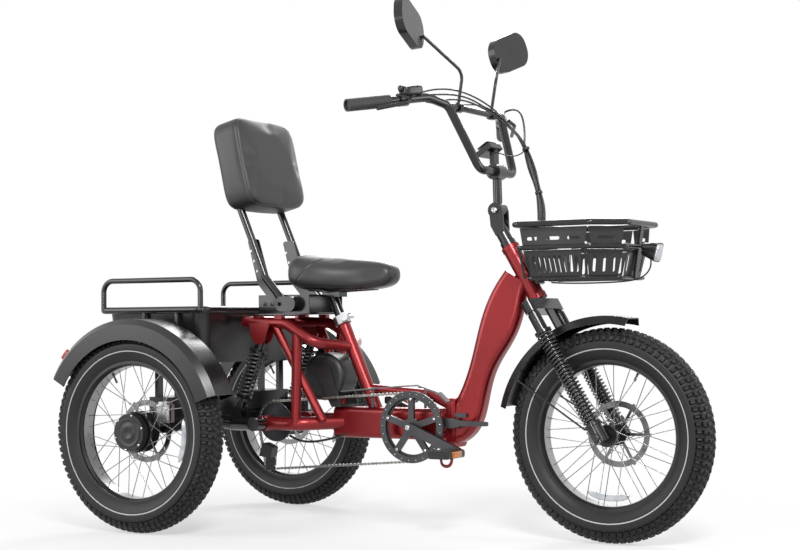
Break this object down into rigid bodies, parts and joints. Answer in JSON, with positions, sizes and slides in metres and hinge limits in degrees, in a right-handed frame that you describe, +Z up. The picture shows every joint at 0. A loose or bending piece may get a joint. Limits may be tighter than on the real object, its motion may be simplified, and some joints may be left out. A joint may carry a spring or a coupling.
{
  "type": "electric tricycle",
  "caption": "Folding electric tricycle with a sprung rear end, backrest, cargo bin and front basket.",
  "frame": {"origin": "on the ground, midway between the front and rear axles", "axes": "+X forward, +Y to the rider's left, +Z up"},
  "size_m": [1.875, 0.9228, 1.4673],
  "materials": {
    "red_paint": "satin metallic red paint",
    "black_paint": "satin black paint",
    "tyre": "black rubber with a pale ring",
    "rim": "black anodised",
    "steel": "bright steel",
    "dark_steel": "dark steel",
    "spring": "black spring",
    "motor": "black cast",
    "alloy": "silver alloy",
    "vinyl": "grey black vinyl",
    "plastic": "black moulded plastic",
    "grey_plastic": "grey moulded plastic",
    "grip": "soft black rubber",
    "lamp": "black shell with a clear lens",
    "tail": "red lens",
    "mirror": "glass in a black shell"
  },
  "bodies": {
    "rear_frame": {"rear_frame": "red_paint", "swing_arm": "black_paint", "rear_shocks": "black_paint", "rear_springs": "spring", "motor": "motor", "cassette": "dark_steel", "derailleur": "plastic", "chains": "steel", "seat_clamp": "alloy", "chain_guard": "grey_plastic", "backrest_frame": "black_paint", "backrest_pad": "vinyl", "cargo_rack": "black_paint", "cargo_bin": "plastic", "rear_fenders": "plastic", "tail_lamps": "tail", "rear_calipers": "alloy"},
    "seat": {"seat_post": "alloy", "saddle": "vinyl"},
    "front_frame": {"front_frame": "red_paint", "fold_latch": "dark_steel", "basket_frame": "black_paint", "basket_panels": "plastic", "head_lamp": "lamp"},
    "steering": {"fork": "black_paint", "fork_springs": "spring", "front_fender": "plastic", "stem_lower": "black_paint"},
    "handlebar": {"stem_upper": "black_paint", "handlebar": "black_paint", "grips": "grip", "controls": "plastic", "mirrors": "mirror", "display": "plastic"},
    "front_wheel": {"front_tyre": "tyre", "front_rim": "rim", "front_spokes": "steel"},
    "rear_wheel_right": {"rear_right_tyre": "tyre", "rear_right_rim": "rim", "rear_right_spokes": "steel"},
    "rear_wheel_left": {"rear_left_tyre": "tyre", "rear_left_rim": "rim", "rear_left_spokes": "steel"},
    "crank": {"crank_set": "dark_steel"},
    "pedal_right": {"pedal_right": "plastic"},
    "pedal_left": {"pedal_left": "plastic"}
  },
  "joints": [
    {"name": "frame_fold", "type": "hinge", "parent": "rear_frame", "child": "front_frame", "pos_m": [0.1745, 0.047, 0.315], "axis": [0, 0, -1], "range_deg": [-135, 0]},
    {"name": "steering", "type": "hinge", "parent": "front_frame", "child": "steering", "pos_m": [0.6475, 0, 0.29], "axis": [-0.5, 0, 0.866], "range_deg": [-50, 50]},
    {"name": "stem_tilt", "type": "hinge", "parent": "steering", "child": "handlebar", "pos_m": [0.31332, 0, 0.90882], "axis": [0, 1, 0], "range_deg": [-20, 40]},
    {"name": "seat_height", "type": "slide", "parent": "rear_frame", "child": "seat", "axis": [-0.4067, 0, 0.9135], "range_m": [0, 0.12]},
    {"name": "front_wheel_spin", "type": "hinge", "parent": "steering", "child": "front_wheel", "pos_m": [0.6475, 0, 0.29], "axis": [0, 1, 0], "continuous": true},
    {"name": "rear_wheel_right_spin", "type": "hinge", "parent": "rear_frame", "child": "rear_wheel_right", "pos_m": [-0.6475, -0.4, 0.29], "axis": [0, 1, 0], "continuous": true},
    {"name": "rear_wheel_left_spin", "type": "hinge", "parent": "rear_frame", "child": "rear_wheel_left", "pos_m": [-0.6475, 0.4, 0.29], "axis": [0, 1, 0], "continuous": true},
    {"name": "crank_spin", "type": "hinge", "parent": "rear_frame", "child": "crank", "pos_m": [0.0655, 0, 0.301], "axis": [0, -1, 0], "continuous": true},
    {"name": "pedal_right_spin", "type": "hinge", "parent": "crank", "child": "pedal_right", "pos_m": [0.22256, -0.145, 0.23594], "axis": [0, 1, 0], "continuous": true},
    {"name": "pedal_left_spin", "type": "hinge", "parent": "crank", "child": "pedal_left", "pos_m": [-0.09156, 0.145, 0.36606], "axis": [0, 1, 0], "continuous": true}
  ]
}
